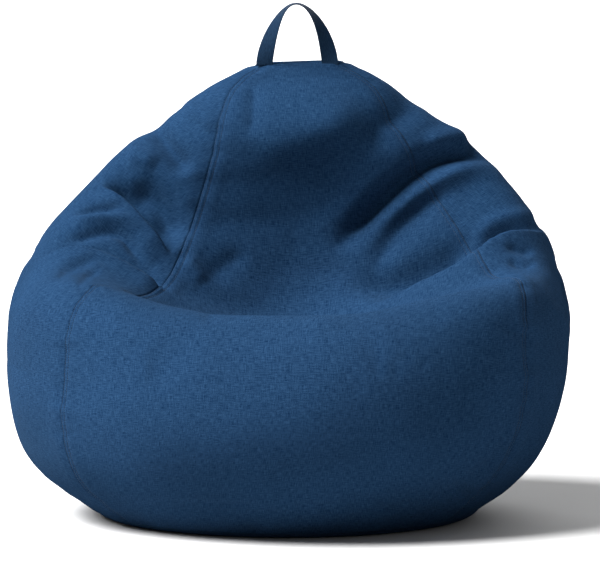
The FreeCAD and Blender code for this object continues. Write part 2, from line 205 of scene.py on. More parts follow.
PROFILE_POINTS = np.array([profile_points(i, side) for i, side in PROFILES_ROUND])
_steps = np.linalg.norm(np.diff(PROFILE_POINTS, axis=1), axis=2).mean(0)
CLOTH_LENGTH = _steps.sum()
STATIONS = np.concatenate([[0], np.cumsum(_steps)]) / CLOTH_LENGTH
SLOT_STATION = 1 - (1 - STATIONS[-2]) * ZIP_SLOT / SKIRT_WIDTH


def plain_surface(bearing, station):
    """Points of the plain filled bag, for arrays of bearings and stations of one shape."""
    down = spline_weights(STATIONS, np.clip(station, 0, 1))
    profiles = np.einsum("...s,psc->...pc", down, PROFILE_POINTS)
    turned = np.radians(bearing)
    half_x = (profiles[..., 2, 0] - profiles[..., 6, 0]) / 2
    half_y = (profiles[..., 4, 1] - profiles[..., 0, 1]) / 2
    at = np.radians(ROUND)
    rest = profiles.copy()
    rest[..., 0] -= half_x[..., None] * np.sin(at)
    rest[..., 1] += half_y[..., None] * np.cos(at)
    weights = spline_weights(ROUND, bearing, TURN)
    point = np.einsum("...p,...pc->...c", weights, rest)
    point[..., 0] += half_x * np.sin(turned)
    point[..., 1] -= half_y * np.cos(turned)
    return point


def unit(v):
    return v / np.maximum(np.linalg.norm(v, axis=-1, keepdims=True), 1e-12)


def plain_normal(bearing, station):
    """Outward normals of the plain bag."""
    turn_step, step = 0.4, 0.003
    onwards = plain_surface(bearing + turn_step, station) - plain_surface(bearing - turn_step, station)
    low, high = np.maximum(station - step, 0), np.minimum(station + step, 1)
    down = plain_surface(bearing, high) - plain_surface(bearing, low)
    return unit(np.cross(down, onwards))


def seam_bearing(which, station):
    """The bearing of a front seam at a station; which is -1 for the left one and 1 for the right one."""
    creep = LEFT_SEAM_CREEP if which < 0 else RIGHT_SEAM_CREEP
    return which * BEARINGS[1] + spline_weights(SEAM_STATIONS, station) @ creep


# ---- folds


def seen(points):
    """Where the eye in front sees points, on the upright plane: metres across, and metres up its slope."""
    back = np.array([0, math.cos(EYE_ELEVATION), -math.sin(EYE_ELEVATION)])
    up = np.array([0, math.sin(EYE_ELEVATION), math.cos(EYE_ELEVATION)])
    away = points - (np.array(LOOK_AT) - back * EYE_DISTANCE)
    scale = EYE_DISTANCE / (away @ back)
    return np.stack([LOOK_AT.x + away[..., 0] * scale, LOOK_AT.z * up[2] + (away @ up) * scale], -1)


def denser(points, count=28):
    """A smooth line through the points, as count points."""
    far = np.concatenate([[0], np.cumsum(np.linalg.norm(np.diff(points, axis=0), axis=1))])
    return spline_weights(far, np.linspace(0, far[-1], count)) @ points


def to_line(xy, line):
    """Each point's signed distance to a line (positive on the left of its direction) and its share along it."""
    best = np.full(len(xy), 1e9)
    sign = np.ones(len(xy))
    share = np.zeros(len(xy))
    lengths = np.linalg.norm(np.diff(line, axis=0), axis=1)
    total, before = lengths.sum(), 0.0
    for a, b, length in zip(line, line[1:], lengths):
        d = b - a
        t = np.clip(((xy - a) @ d) / (length * length), 0, 1)
        off = xy - a - t[:, None] * d
        dist = np.hypot(off[:, 0], off[:, 1])
        nearer = dist < best
        best = np.where(nearer, dist, best)
        sign = np.where(nearer, np.sign(d[0] * off[:, 1] - d[1] * off[:, 0]), sign)
        share = np.where(nearer, (before + t * length) / total, share)
        before += length
    return best * sign, share


def valley(d, width):
    return -np.exp(-((np.abs(d) / width) ** 1.7))


def ridge(d, width):
    return np.exp(-((d / width) ** 2))


def lap(d, width):
    """A fold that laps over: a round edge on the negative side, and a steep drop on the positive side."""
    over = smooth(-0.10 * width, 0.22 * width, d)
    drop = -np.exp(-np.maximum(d, 0) / (0.9 * width))
    edge = 0.42 * np.exp(-((d / (1.1 * width)) ** 2))
    return over * drop + (1 - over) * edge


SHAPES = {"valley": valley, "ridge": ridge, "lap": lap, "lap_right": lambda d, w: lap(-d, w)}

# Folds on the upright plane: (shape, height, half width, nearest y, farthest y, percent that fades, points).
# All but the fade are in millimetres, and the points are x, z, x, z and so on along the fold.
FOLDS = [
    # left arm, upper edge, where it laps over the side of the backrest
    ("lap", 36, 24, -150, 300, 26, (-312, 534, -288, 519, -258, 499, -229, 469, -203, 443, -182, 412)),
    ("valley", 20, 20, -150, 300, 30, (-262, 545, -240, 524, -215, 505, -190, 470, -165, 435)),
    # left arm, where the front roll laps over it
    ("lap", 26, 17, -330, 250, 22, (-400, 410, -346, 424, -304, 419, -258, 401, -221, 380, -180, 352)),
    ("valley", 14, 8, -300, 250, 30, (-375, 440, -317, 453, -269, 452, -241, 430, -218, 398)),
    ("ridge", 9, 8, -300, 250, 35, (-365, 470, -310, 477, -262, 468, -232, 445)),
    ("valley", 11, 7, -300, 250, 35, (-350, 482, -305, 489, -262, 482)),
    # small wrinkles that fan out on the left shoulder of the front roll
    ("valley", 6, 6, -400, 0, 30, (-375, 372, -345, 393, -300, 403)),
    ("valley", 5, 5, -400, 0, 30, (-340, 362, -318, 380, -292, 390)),
    ("ridge", 3, 6, -400, 0, 30, (-385, 390, -350, 405, -300, 411)),
    # right side of the backrest: the deep upper fold, the ridge over it and the softer folds under it
    ("valley", 31, 17, -100, 350, 25, (345, 560, 306, 583, 262, 584, 213, 559, 169, 522, 126, 484, 90, 448,
      62, 412)),
    ("ridge", 9, 15, -100, 350, 30, (300, 606, 255, 603, 205, 590)),
    ("ridge", 11, 16, -100, 300, 30, (330, 562, 290, 556, 245, 540, 190, 508, 145, 470, 118, 440)),
    ("valley", 14, 19, -150, 300, 35, (262, 528, 205, 492, 160, 450, 134, 405, 118, 365)),
    # right arm: the crescent behind the front roll
    ("lap_right", 28, 22, -300, 250, 30, (420, 450, 390, 457, 350, 452, 313, 434, 284, 413, 233, 384, 168,
      350, 120, 335)),
    ("ridge", 6, 12, -250, 300, 30, (400, 474, 358, 482, 320, 470, 285, 446)),
    # the dip behind the right half of the roll's crest
    ("valley", 26, 22, -260, 200, 30, (80, 362, 150, 374, 210, 400, 262, 432, 300, 462)),
    # puckers by the right seam, under the crescent
    ("valley", 7, 7, -350, 150, 35, (335, 428, 362, 424, 395, 418)),
    ("valley", 7, 6, -350, 150, 35, (345, 408, 372, 401, 400, 402)),
    ("valley", 3, 6, -400, 150, 35, (335, 302, 365, 292, 410, 297)),
    # the head of the backrest: its lower edge, and the hollows on each side of it
    ("ridge", 10, 30, 0, 300, 30, (-75, 588, 0, 600, 60, 622, 115, 655)),
    ("valley", 7, 13, 0, 300, 35, (-58, 700, -66, 650, -72, 598)),
    ("valley", 13, 26, 0, 300, 35, (215, 655, 165, 640, 136, 605, 140, 565)),
    ("valley", 19, 16, 0, 350, 30, (-235, 640, -214, 606, -190, 573, -165, 540)),
    ("ridge", 10, 15, 0, 350, 35, (-275, 580, -240, 572, -215, 560)),
    ("ridge", 5, 13, 0, 350, 35, (-180, 655, -145, 640, -125, 610)),
    # the seat
    ("valley", 6, 20, -250, 150, 35, (-125, 365, -95, 400, -55, 420)),
    ("ridge", 5, 14, -250, 150, 35, (-165, 415, -140, 385, -128, 365)),
    # the lip of the front roll
    ("valley", 5, 12, -450, -200, 30, (-140, 310, -115, 330, -80, 345, -60, 360)),
    ("ridge", 4, 18, -450, -200, 30, (-110, 300, -30, 318, 50, 310, 110, 330)),
    ("valley", 5, 8, -420, -150, 35, (10, 352, 40, 342, 65, 335)),
    # low on the right of the front roll
    ("valley", 5, 11, -450, 0, 35, (235, 30, 265, 36, 300, 45)),
    ("valley", 4, 9, -450, 0, 35, (290, 60, 315, 70, 340, 92)),
]


def fold_heights(points, normals):
    """How far out the folds push each point."""
    xy = seen(points)
    eye = np.array(LOOK_AT) + EYE_DISTANCE * np.array([0, -math.cos(EYE_ELEVATION), math.sin(EYE_ELEVATION)])
    facing = np.einsum("ij,ij->i", normals, unit(eye - points))
    towards = smooth(-0.35, 0.25, facing)
    out = np.zeros(len(points))
    for shape, height, width, near, far, fades, line in FOLDS:
        height, width, near, far, ends = height * MM, width * MM, near / 1000, far / 1000, fades / 100
        path = denser(np.reshape(line, (-1, 2)) / 1000)
        reach = 3.2 * width
        low, high = path.min(0) - reach, path.max(0) + reach
        pick = np.nonzero(
            (xy[:, 0] > low[0]) & (xy[:, 0] < high[0]) & (xy[:, 1] > low[1]) & (xy[:, 1] < high[1])
            & (points[:, 1] > near - 0.03) & (points[:, 1] < far + 0.03)
        )[0]
        d, share = to_line(xy[pick], path)
        fade = smooth(0, ends, share) * smooth(0, ends, 1 - share)
        y = points[pick, 1]
        layer = smooth(near - 0.03, near + 0.03, y) * (1 - smooth(far - 0.03, far + 0.03, y))
        beyond = ridge(np.maximum(np.abs(d) - 1.6 * width, 0), 0.8 * width)
        out[pick] += height * SHAPES[shape](d, width) * fade * layer * towards[pick] * beyond
    return out


def lumps(points, size, seed):
    """Smooth random heights from -1 to 1, with bumps about size across."""
    rng = np.random.RandomState(seed)
    table = rng.uniform(-1, 1, (64, 64, 64))
    at = points / size + 500
    cell = np.floor(at).astype(int)
    f = at - cell
    f = f * f * (3 - 2 * f)
    total = np.zeros(len(points))
    for corner in np.ndindex(2, 2, 2):
        c = np.array(corner)
        w = np.prod(np.where(c, f, 1 - f), axis=1)
        i = (cell + c) % 64
        total += w * table[i[:, 0], i[:, 1], i[:, 2]]
    return total


# ---- the cloth's own height over the plain bag


def along_noise(far, period, seed):
    """Smooth random values from -1 to 1 along a line, given how far along it each point is."""
    at = np.stack([far / period, np.full_like(far, 3.1 * seed), np.zeros_like(far)], -1)
    return lumps(at, 1.0, 11 + seed)


def seam_heights(seam, far, away, topstitched):
    """The groove of a panel seam, the band beside it and the puckers that its thread draws up."""
    groove = -1.2 * MM * np.exp(-((away / (1.8 * MM)) ** 2))
    puff = 1.5 * MM * ridge(away - 20 * MM, 14 * MM)
    share = far / CLOTH_LENGTH
    slack = 0.35 + 0.65 * smooth(0.25, 0.42, share) * (1 - smooth(0.70, 0.85, share))
    draw = along_noise(far, 0.016, seam) + 0.8 * along_noise(far, 0.034, seam + 7)
    pucker = 2.4 * MM * slack * draw * np.exp(-((away / 0.026) ** 1.3))
    height = groove + puff + pucker
    if topstitched:
        height += 0.9 * MM * -ridge(away - TOPSTITCH, 1.5 * MM) + 0.5 * MM * ridge(away - 5 * MM, 3 * MM)
    return height



def running(points):
    """How far along its row each point of a grid is."""
    return np.pad(np.cumsum(np.linalg.norm(np.diff(points, axis=1), axis=2), 1), ((0, 0), (1, 0)))


class Panel:
    """One panel of the cover as a grid: rows run down from the cap, columns run round from seam to seam."""

    def __init__(self, name, first, last, rows, columns, seams, topstitched, slot=None):
        self.name = name
        top, low = np.linspace(0, 0.012, 5)[:-1], np.linspace(SLOT_STATION, 1, 5)[1:]
        stations = np.concatenate([top, np.linspace(0.012, SLOT_STATION, rows - 8), low])
        self.station = np.repeat(stations[:, None], columns, 1)
        self.bearing = self.spread(first(stations), last(stations), stations, columns, slot)
        self.plain = plain_surface(self.bearing, self.station)
        self.normal = plain_normal(self.bearing, self.station)
        self.from_first = running(self.plain)
        self.from_last = self.from_first[:, -1:] - self.from_first
        far = self.station * CLOTH_LENGTH
        height = cloth_heights(self.bearing, self.station, self.plain, self.normal)
        near_ends = smooth(0, 0.012, far) * smooth(0, 0.010, CLOTH_LENGTH - far)
        for seam, away in zip(seams, (self.from_first, self.from_last)):
            height += near_ends * seam_heights(seam, far.ravel(), away.ravel(), topstitched).reshape(far.shape)
        self.points = self.plain + self.normal * height[..., None] + settled(self.bearing, self.station)

    def spread(self, first, last, stations, columns, slot):
        """Bearings of the columns on each row, closer together beside the seams."""
        close = np.array([0, 0.8, 1.8, 3, 4.5, 6.5, 9, 12]) * MM
        if slot:
            share = np.linspace(0, 1, 9) ** 1.5
            middle = np.linspace(slot[0], slot[1], columns - 16)[1:-1]
            left = first[0] + share * (slot[0] - first[0])
            right = (last[0] - share * (last[0] - slot[1]))[::-1]
            return np.repeat(np.concatenate([left, middle, right])[None], len(stations), 0)
        dense = first[:, None] + np.linspace(0, 1, 181) * (last - first)[:, None]
        points = plain_surface(dense, np.repeat(stations[:, None], 181, 1))
        far = running(points)
        found = np.empty((len(stations), columns))
        for i, length in enumerate(far[:, -1]):
            edge = close * min(1, length / 0.06)
            middle = np.linspace(edge[-1], length - edge[-1], columns - 14)[1:-1]
            found[i] = np.interp(np.concatenate([edge, middle, length - edge[::-1]]), far[i], dense[i])
        return found

    def line(self, from_last, distance, lift=0.15 * MM):
        """Points and normals of a line that runs down the panel at a distance from one of its seams."""
        away = self.from_last[:, ::-1] if from_last else self.from_first
        points = self.points[:, ::-1] if from_last else self.points
        normals = self.normal[:, ::-1] if from_last else self.normal
        on, out = (np.array([[np.interp(distance, away[r], grid[r, :, c]) for c in range(3)]
                             for r in range(4, len(grid) - 4)]) for grid in (points, normals))
        return on + lift * out, unit(out)


def cloth_heights(bearing, station, points, normals):
    """Folds, settling lumps and gathers, which fade out at the cap and at the base seam."""
    shape = bearing.shape
    bearing, station = bearing.ravel(), station.ravel()
    points, normals = points.reshape(-1, 3), normals.reshape(-1, 3)
    from_cap = station * CLOTH_LENGTH
    from_base = (1 - station) * CLOTH_LENGTH
    at_zip = 1 - smooth(ZIP_HALF_ARC + 6, ZIP_HALF_ARC + 14, np.abs((bearing % TURN) - 180))
    calm = 1 - at_zip * (1 - smooth(0.022, 0.055, from_base))
    ends = smooth(0, 0.022, from_cap) * smooth(0, 0.012, from_base) * calm
    height = fold_heights(points, normals)
    height += 2.6 * MM * lumps(points, 0.16, 1) + 1.5 * MM * lumps(points, 0.065, 2)
    gathers = lumps(np.stack([bearing / 5.0, station * 6, np.zeros_like(station)], -1), 1.0, 5)
    height += 2.2 * MM * gathers * np.exp(-from_base / 0.05)
    at_cap = lumps(np.stack([bearing / 14.0, station * 4, np.ones_like(station)], -1), 1.0, 6)
    height += 2.0 * MM * at_cap * np.exp(-from_cap / 0.05)
    return (height * ends).reshape(shape)


# How the settled bag stands over its drawn form: (height, shift to +X, spread of half its width), in millimetres
SETTLING = np.array([
    (0, 0, 0), (30, 0, 0), (70, -6, 3), (110, -6, 2), (150, -5, 1), (200, -3, 0), (250, 0, 0), (300, -1, 2),
    (343, -1, 6), (390, 1, 9), (435, 4, 10), (480, 6, 6), (530, 7, 1), (575, 11, 0), (620, 11, 0), (670, 9, 2),
    (705, 3, 6), (717, 0, 5),
]) * MM


def settled(bearing, station):
    """How far the cloth moves from its drawn form: the lean, the cap's tilt, and the simulated wrinkles."""
    place = plain_surface(bearing, station)
    moved = np.zeros(bearing.shape + (3,))
    shift = np.interp(place[..., 2], SETTLING[:, 0], SETTLING[:, 1])
    spread = np.interp(place[..., 2], SETTLING[:, 0], SETTLING[:, 2])
    moved[..., 0] = shift + spread * np.sin(np.radians(bearing))
    across = CAP_LENGTH / 2 * np.sin(np.radians(bearing))
    moved[..., 2] = CAP_TILT * across * (1 - smooth(0, 0.10, station * CLOTH_LENGTH))
    if WRINKLES is not None:
        turned = np.abs((bearing + TURN / 2) % TURN - TURN / 2)
        share = 0.55 + 0.45 * smooth(60, 100, turned)
        share *= 1 - 0.65 * (1 - smooth(0.34, 0.52, station)) * (1 - smooth(110, 150, turned))
        moved += sampled(WRINKLES, bearing, station) * share[..., None]
    return moved


# ---- wrinkles, from a cloth simulation

SIM_COLUMNS, SIM_ROWS = 176, 112
SIM_FRAMES = 22
SIM_LIMIT = 9 * MM


def catmull_rom(t):
    """The weights of the four neighbours round a place that is t of the way from the second to the third."""
    return np.stack([(-t**3 + 2 * t**2 - t) / 2, (3 * t**3 - 5 * t**2 + 2) / 2, (-3 * t**3 + 4 * t**2 + t) / 2,
                     (t**3 - t**2) / 2])


def sampled(grid, bearing, station):
    """A smooth reading of a grid of vectors, which goes all the way round, at bearings and stations."""
    rows, columns = grid.shape[:2]
    across = (bearing % TURN) / TURN * columns
    along = np.clip(station, 0, 1) * (rows - 1)
    j, i = np.floor(across).astype(int), np.minimum(np.floor(along).astype(int), rows - 2)
    wj, wi = catmull_rom(across - j), catmull_rom(along - i)
    total = np.zeros(bearing.shape + (3,))
    for a in range(4):
        row = np.clip(i + a - 1, 0, rows - 1)
        for b in range(4):
            total += (wi[a] * wj[b])[..., None] * grid[row, (j + b - 1) % columns]
    return total


def simulated_wrinkles():
    """The moves of a slightly oversized cloth under the beads' pressure, held at the cap and at the base."""
    bearing, station = np.meshgrid(np.arange(SIM_COLUMNS) * TURN / SIM_COLUMNS, np.linspace(0, 1, SIM_ROWS))
    plain, normal = plain_surface(bearing, station), plain_normal(bearing, station)
    drawn = plain + normal * cloth_heights(bearing, station, plain, normal)[..., None]
    drawn[..., 2] = np.maximum(drawn[..., 2], 0)
    mesh = plain_mesh("settling_cloth", drawn.reshape(-1, 3), tube_faces(SIM_ROWS, SIM_COLUMNS))
    cloth = linked("settling_cloth", mesh)
    turn_outwards(cloth)

    far = station * CLOTH_LENGTH
    held = np.maximum(1 - smooth(0.010, 0.045, far), 1 - smooth(0.030, 0.075, CLOTH_LENGTH - far)).ravel()
    slack = (0.35 + 0.65 * smooth(0.10, 0.35, station) * (1 - smooth(0.60, 0.90, station))).ravel()
    pins, loose = cloth.vertex_groups.new(name="held"), cloth.vertex_groups.new(name="slack")
    for k in range(len(held)):
        if held[k] > 0.01:
            pins.add([k], float(held[k]), "REPLACE")
        loose.add([k], float(slack[k]), "REPLACE")
    modifier = cloth.modifiers.new("settle", "CLOTH")
    setup = dict(
        quality=6, mass=0.4, tension_stiffness=30, compression_stiffness=30, shear_stiffness=12,
        bending_stiffness=1.2, air_damping=3, use_pressure=True, uniform_pressure_force=2.5, pin_stiffness=5,
        vertex_group_mass="held", vertex_group_shrink="slack", shrink_min=0.0, shrink_max=-0.055,
    )
    for key, value in setup.items():
        setattr(modifier.settings, key, value)
    modifier.settings.effector_weights.gravity = 0
    modifier.collision_settings.use_self_collision = False
    modifier.point_cache.frame_start, modifier.point_cache.frame_end = 1, SIM_FRAMES
    for number in range(1, SIM_FRAMES + 1):
        bpy.context.scene.frame_set(number)
    shown = cloth.evaluated_get(bpy.context.evaluated_depsgraph_get())
    co = np.empty(len(mesh.vertices) * 3, np.float32)
    shown.data.vertices.foreach_get("co", co)
    bpy.data.objects.remove(cloth)
    bpy.context.scene.frame_set(1)
    moves = co.reshape(SIM_ROWS, SIM_COLUMNS, 3).astype(float) - drawn
    out = np.einsum("ijk,ijk->ij", moves, normal)
    for _ in range(3):
        wide = out - broad(out)
        moves += normal * (wide - out)[..., None]
        out = wide
    length = np.linalg.norm(moves, axis=-1, keepdims=True)
    moves *= SIM_LIMIT * np.tanh(length / SIM_LIMIT) / np.maximum(length, 1e-9)
    return moves * (1 - held.reshape(SIM_ROWS, SIM_COLUMNS, 1))


def broad(heights):
    """The broad swelling in a grid of heights, without its wrinkles."""
    rows = np.arange(len(heights))
    shifts = range(-9, 10, 3)
    total = np.zeros_like(heights)
    for i in shifts:
        lines = heights[np.clip(rows + i, 0, len(heights) - 1)]
        for j in shifts:
            total += np.roll(lines, j, 1)
    return total / len(shifts) ** 2


# ---- meshes


def linked(name, data):
    """A new object at the origin, in the scene."""
    made = bpy.data.objects.new(name, data)
    bpy.context.scene.collection.objects.link(made)
    return made


def plain_mesh(name, points, faces, edges=()):
    mesh = bpy.data.meshes.new(name)
    mesh.from_pydata(np.asarray(points).tolist(), edges, faces)
    return mesh


def grid_quads(rows, columns, wrap=False):
    """Corner numbers of a grid's quads, facing out of the bag."""
    i = np.arange(rows - 1)[:, None]
    j = np.arange(columns if wrap else columns - 1)[None]
    a = i * columns + j
    b = i * columns + (j + 1) % columns
    return np.stack([a, a + columns, b + columns, b], -1).reshape(-1, 4)


def tube_faces(rings, sides):
    """Faces of a closed tube of rings, with one flat face over each end."""
    last = (rings - 1) * sides
    ends = [range(sides), reversed(range(last, last + sides))]
    return [tuple(f) for f in grid_quads(rings, sides, wrap=True).tolist()] + [tuple(end) for end in ends]


def closed_cloth(outer, inner, quads):
    """Vertices and faces of a closed piece between two skins that share one layout of quads."""
    n = len(outer)
    edges = np.concatenate([quads[:, [k, (k + 1) % 4]] for k in range(4)])
    codes = edges[:, 0] * n + edges[:, 1]
    back = edges[:, 1] * n + edges[:, 0]
    rim = edges[~np.isin(codes, back)]
    walls = np.stack([rim[:, 1], rim[:, 0], rim[:, 0] + n, rim[:, 1] + n], -1)
    return np.concatenate([outer, inner]), np.concatenate([quads, quads[:, ::-1] + n, walls])


def make_piece(name, points, faces, material, uv=None):
    """A smooth-shaded mesh object at the origin. uv holds its grain: one pair, in metres, for each point."""
    mesh = plain_mesh(name, points, [tuple(int(i) for i in f) for f in faces])
    if uv is not None:
        corners = np.empty(len(mesh.loops), int)
        mesh.loops.foreach_get("vertex_index", corners)
        layer = mesh.uv_layers.new(name="cloth_grain")
        layer.data.foreach_set("uv", np.asarray(uv, np.float32)[corners].ravel())
    mesh.polygons.foreach_set("use_smooth", np.ones(len(mesh.polygons), bool))
    mesh.materials.append(material)
    mesh.update()
    return linked(name, mesh)


def turn_outwards(piece):
    """Makes every face of a closed piece face out."""
    built = bmesh.new()
    built.from_mesh(piece.data)
    bmesh.ops.recalc_face_normals(built, faces=built.faces)
    built.to_mesh(piece.data)
    built.free()


def unused_removed(points, faces, uv):
    """The points, faces and grain without the points that no face uses."""
    used = np.unique(faces)
    lookup = np.zeros(len(points), int)
    lookup[used] = np.arange(len(used))
    return points[used], lookup[faces], uv[used]


def dressed(piece, slot, *nodes, body="bag", fill=None):
    """Ties a finished piece to its body, if it has just one, and hides the CAD nodes it stands for. The slot for
    its finish is not used.
    """
    if body:
        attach(piece, body)
    if nodes:
        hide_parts(*nodes)


PLACING_NODES = {
    "enter": "NodeGroupInput", "leave": "NodeGroupOutput", "curve": "GeometryNodeMeshToCurve",
    "evenly": "GeometryNodeResampleCurve", "tangent": "GeometryNodeInputTangent",
    "out": "GeometryNodeInputNamedAttribute", "along": "FunctionNodeAlignRotationToVector",
    "stand": "FunctionNodeAlignRotationToVector", "given": "GeometryNodeObjectInfo",
    "place": "GeometryNodeInstanceOnPoints", "real": "GeometryNodeRealizeInstances",
    "finish": "GeometryNodeSetMaterial",
}
PLACING_LINKS = """enter.Lines curve.Mesh, curve.Curve evenly.Curve, enter.Pitch evenly.Length,
    tangent.Tangent along.Vector, along.Rotation stand.Rotation, out.Attribute stand.Vector,
    enter.Item given.Object, evenly.Curve place.Points, given.Geometry place.Instance,
    stand.Rotation place.Rotation, place.Instances real.Geometry, real.Geometry finish.Geometry,
    enter.Material finish.Material, finish.Geometry leave.Pieces"""


def along_lines(name, lines, item, pitch, material):
    """Copies of a small item along lines of (points, normals). Its X follows the line, its Z stands out."""
    points, outs, edges = [], [], []
    for on, out in lines:
        edges += [(len(points) + k, len(points) + k + 1) for k in range(len(on) - 1)]
        points += on.tolist()
        outs += out.tolist()
    mesh = plain_mesh(name, points, [], edges)
    layer = mesh.attributes.new("out", "FLOAT_VECTOR", "POINT")
    layer.data.foreach_set("vector", np.array(outs, np.float32).ravel())
    piece = linked(name, mesh)

    group = bpy.data.node_groups.new(name, "GeometryNodeTree")
    ids = {}
    kinds = {"Lines": "Geometry", "Pitch": "Float", "Item": "Object", "Material": "Material", "Pieces": "Geometry"}
    for label, kind in kinds.items():
        way = "OUTPUT" if label == "Pieces" else "INPUT"
        socket = group.interface.new_socket(label, in_out=way, socket_type="NodeSocket" + kind)
        ids[label] = socket.identifier
    nodes = {key: group.nodes.new(kind) for key, kind in PLACING_NODES.items()}
    nodes["evenly"].mode = "LENGTH"
    nodes["out"].data_type = "FLOAT_VECTOR"
    nodes["out"].inputs["Name"].default_value = "out"
    nodes["along"].axis, nodes["stand"].axis, nodes["stand"].pivot_axis = "X", "Z", "X"
    for pair in PLACING_LINKS.split(","):
        (start, output), (end, entry) = (place.split(".") for place in pair.split())
        group.links.new(nodes[start].outputs[output], nodes[end].inputs[entry])

    modifier = piece.modifiers.new(name, "NODES")
    modifier.node_group = group
    modifier[ids["Pitch"]], modifier[ids["Item"]], modifier[ids["Material"]] = pitch, item, material
    bpy.context.view_layer.update()
    made = bpy.data.meshes.new_from_object(piece.evaluated_get(bpy.context.evaluated_depsgraph_get()))
    piece.modifiers.remove(modifier)
    piece.data = made
    made.polygons.foreach_set("use_smooth", np.ones(len(made.polygons), bool))
    return piece


def capsule(length, width, height, rings=6, sides=6):
    """A stitch: a rounded thread of one length, along X, that dips at both ends."""
    points = []
    for t in np.arange(rings + 1) / rings:
        thick = math.sin(math.pi * min(max(t, 0.06), 0.94)) ** 0.5 * width / 2
        rise = height * math.sin(math.pi * t)
        for a in TURN_RADIANS * np.arange(sides) / sides:
            points.append(((t - 0.5) * length, thick * math.cos(a), rise + thick * math.sin(a)))
    return linked("stitch", plain_mesh("stitch", points, [f[::-1] for f in tube_faces(rings + 1, sides)]))


# ---- materials


class Finish:
    """A material and short calls that add its nodes."""

    def __init__(self, name):
        self.material = bpy.data.materials.new(name)
        self.material.use_nodes = True
        self.nodes = self.material.node_tree.nodes
        self.link = self.material.node_tree.links.new
        self.shader = self.nodes["Principled BSDF"]

    def node(self, kind, inputs=(), **settings):
        made = self.nodes.new(kind)
        for key, value in settings.items():
            setattr(made, key, value)
        for key, value in dict(inputs).items():
            self.feed(made.inputs[key], value)
        return made

    def feed(self, socket, value):
        if isinstance(value, bpy.types.NodeSocket):
            self.link(value, socket)
        else:
            socket.default_value = value

    def math(self, operation, a, b=0.0):
        return self.node("ShaderNodeMath", {0: a, 1: b}, operation=operation).outputs[0]

    def times(self, a, b):
        return self.math("MULTIPLY", a, b)

    def plus(self, a, b):
        return self.math("ADD", a, b)

    def between(self, value, low, high, start=0.3, end=0.7):
        """low where the value is start, high where it is end, and evenly between them."""
        inputs = {"Value": value, "From Min": start, "From Max": end, "To Min": low, "To Max": high}
        return self.node("ShaderNodeMapRange", inputs).outputs[0]

    def scaled(self, vector, scale):
        return self.node("ShaderNodeVectorMath", {0: vector, 1: scale}, operation="MULTIPLY").outputs[0]

    def noise(self, vector, scale, detail=2.0, roughness=0.5):
        inputs = {"Vector": vector, "Scale": scale, "Detail": detail, "Roughness": roughness}
        return self.node("ShaderNodeTexNoise", inputs).outputs["Fac"]

    def grain(self):
        """The cloth's own grain, in metres across and along the threads."""
        return self.node("ShaderNodeUVMap", uv_map="cloth_grain").outputs["UV"]

    def place(self):
        return self.node("ShaderNodeTexCoord").outputs["Object"]

    def ramp(self, value, stops):
        made = self.node("ShaderNodeValToRGB", {"Fac": value})
        while len(made.color_ramp.elements) < len(stops):
            made.color_ramp.elements.new(0.5)
        for element, (at, colour) in zip(made.color_ramp.elements, stops):
            element.position = at
            element.color = (*colour, 1)
        return made.outputs["Color"]

    def bump(self, height, distance, strength=1.0, onto=None):
        inputs = {"Height": height, "Distance": distance, "Strength": strength}
        if onto is not None:
            inputs["Normal"] = onto
        return self.node("ShaderNodeBump", inputs).outputs["Normal"]

    def set(self, **values):
        for key, value in values.items():
            self.feed(self.shader.inputs[key.replace("_", " ")], value)
        return self.material


def woven(f, vector, pitch):
    """Height of a plain weave: threads that pass over and under each other."""
    split = f.node("ShaderNodeSeparateXYZ", {0: vector}).outputs
    across, down = (f.math("SINE", f.times(split[k], math.pi / pitch)) for k in (0, 1))
    over = f.times(across, down)
    warp = f.times(f.math("ABSOLUTE", across), f.plus(over, 1.2))
    weft = f.times(f.math("ABSOLUTE", down), f.math("SUBTRACT", 1.2, over))
    return f.math("MAXIMUM", warp, weft)


def heather(name, dark, light):
    """Heathered cloth: slubby threads of mixed blues both ways, a plain weave, and a soft fuzz."""
    f = Finish(name)
    uv = f.grain()
    warp, weft = (f.noise(f.scaled(uv, slub), 1.0, 3, 0.6) for slub in ((950, 90, 1), (85, 900, 1)))
    slubs = f.times(f.plus(warp, weft), 0.5)
    mixed = f.plus(f.times(slubs, 0.8), f.times(f.noise(uv, 1500, 1), 0.2))
    colour = f.ramp(mixed, [(0.365, dark), (0.635, light)])
    shade = f.between(f.noise(f.place(), 5.0, 3), 0.90, 1.10)
    tint = f.node("ShaderNodeVectorMath", {0: colour, "Scale": shade}, operation="SCALE").outputs[0]
    height = f.plus(f.times(woven(f, uv, 0.9 * MM), 0.5), slubs)
    fuzz = f.bump(f.noise(f.place(), 260, 3), 0.4 * MM, 0.35)
    normal = f.bump(height, 0.35 * MM, 0.55, fuzz)
    return f.set(Base_Color=tint, Roughness=f.between(slubs, 0.95, 0.80), Normal=normal, Sheen_Weight=0.02,
                 Sheen_Roughness=0.5, Sheen_Tint=(0.45, 0.68, 0.95, 1), Specular_IOR_Level=0.0)


def webbing(name, dark, light):
    """Woven strap: close ribs along it, herringbone turns across it."""
    f = Finish(name)
    uv = f.grain()
    across, along = f.node("ShaderNodeSeparateXYZ", {0: uv}).outputs[:2]
    slant, cords = (f.math("ABSOLUTE", f.math("SINE", f.times(across, math.pi / (w * MM)))) for w in (4.5, 1.5))
    ribs = f.math("SINE", f.plus(f.times(along, TURN_RADIANS / (1.3 * MM)), f.times(slant, 3.0)))
    height = f.plus(f.times(ribs, 0.35), cords)
    slubs = f.noise(f.scaled(uv, (700, 160, 1)), 1.0, 3, 0.6)
    # The colour is lighter on the raised ribs and cords and darker in the grooves between them, which is painted
    # shade in the weave; the slubs give the yarn's own uneven tone.
    colour = f.ramp(f.plus(f.times(height, 0.22), slubs), [(0.35, dark), (0.80, light)])
    return f.set(Base_Color=colour, Roughness=f.between(slubs, 0.9, 0.72), Normal=f.bump(height, 0.30 * MM, 0.7),
                 Sheen_Weight=0.0, Specular_IOR_Level=0.05)


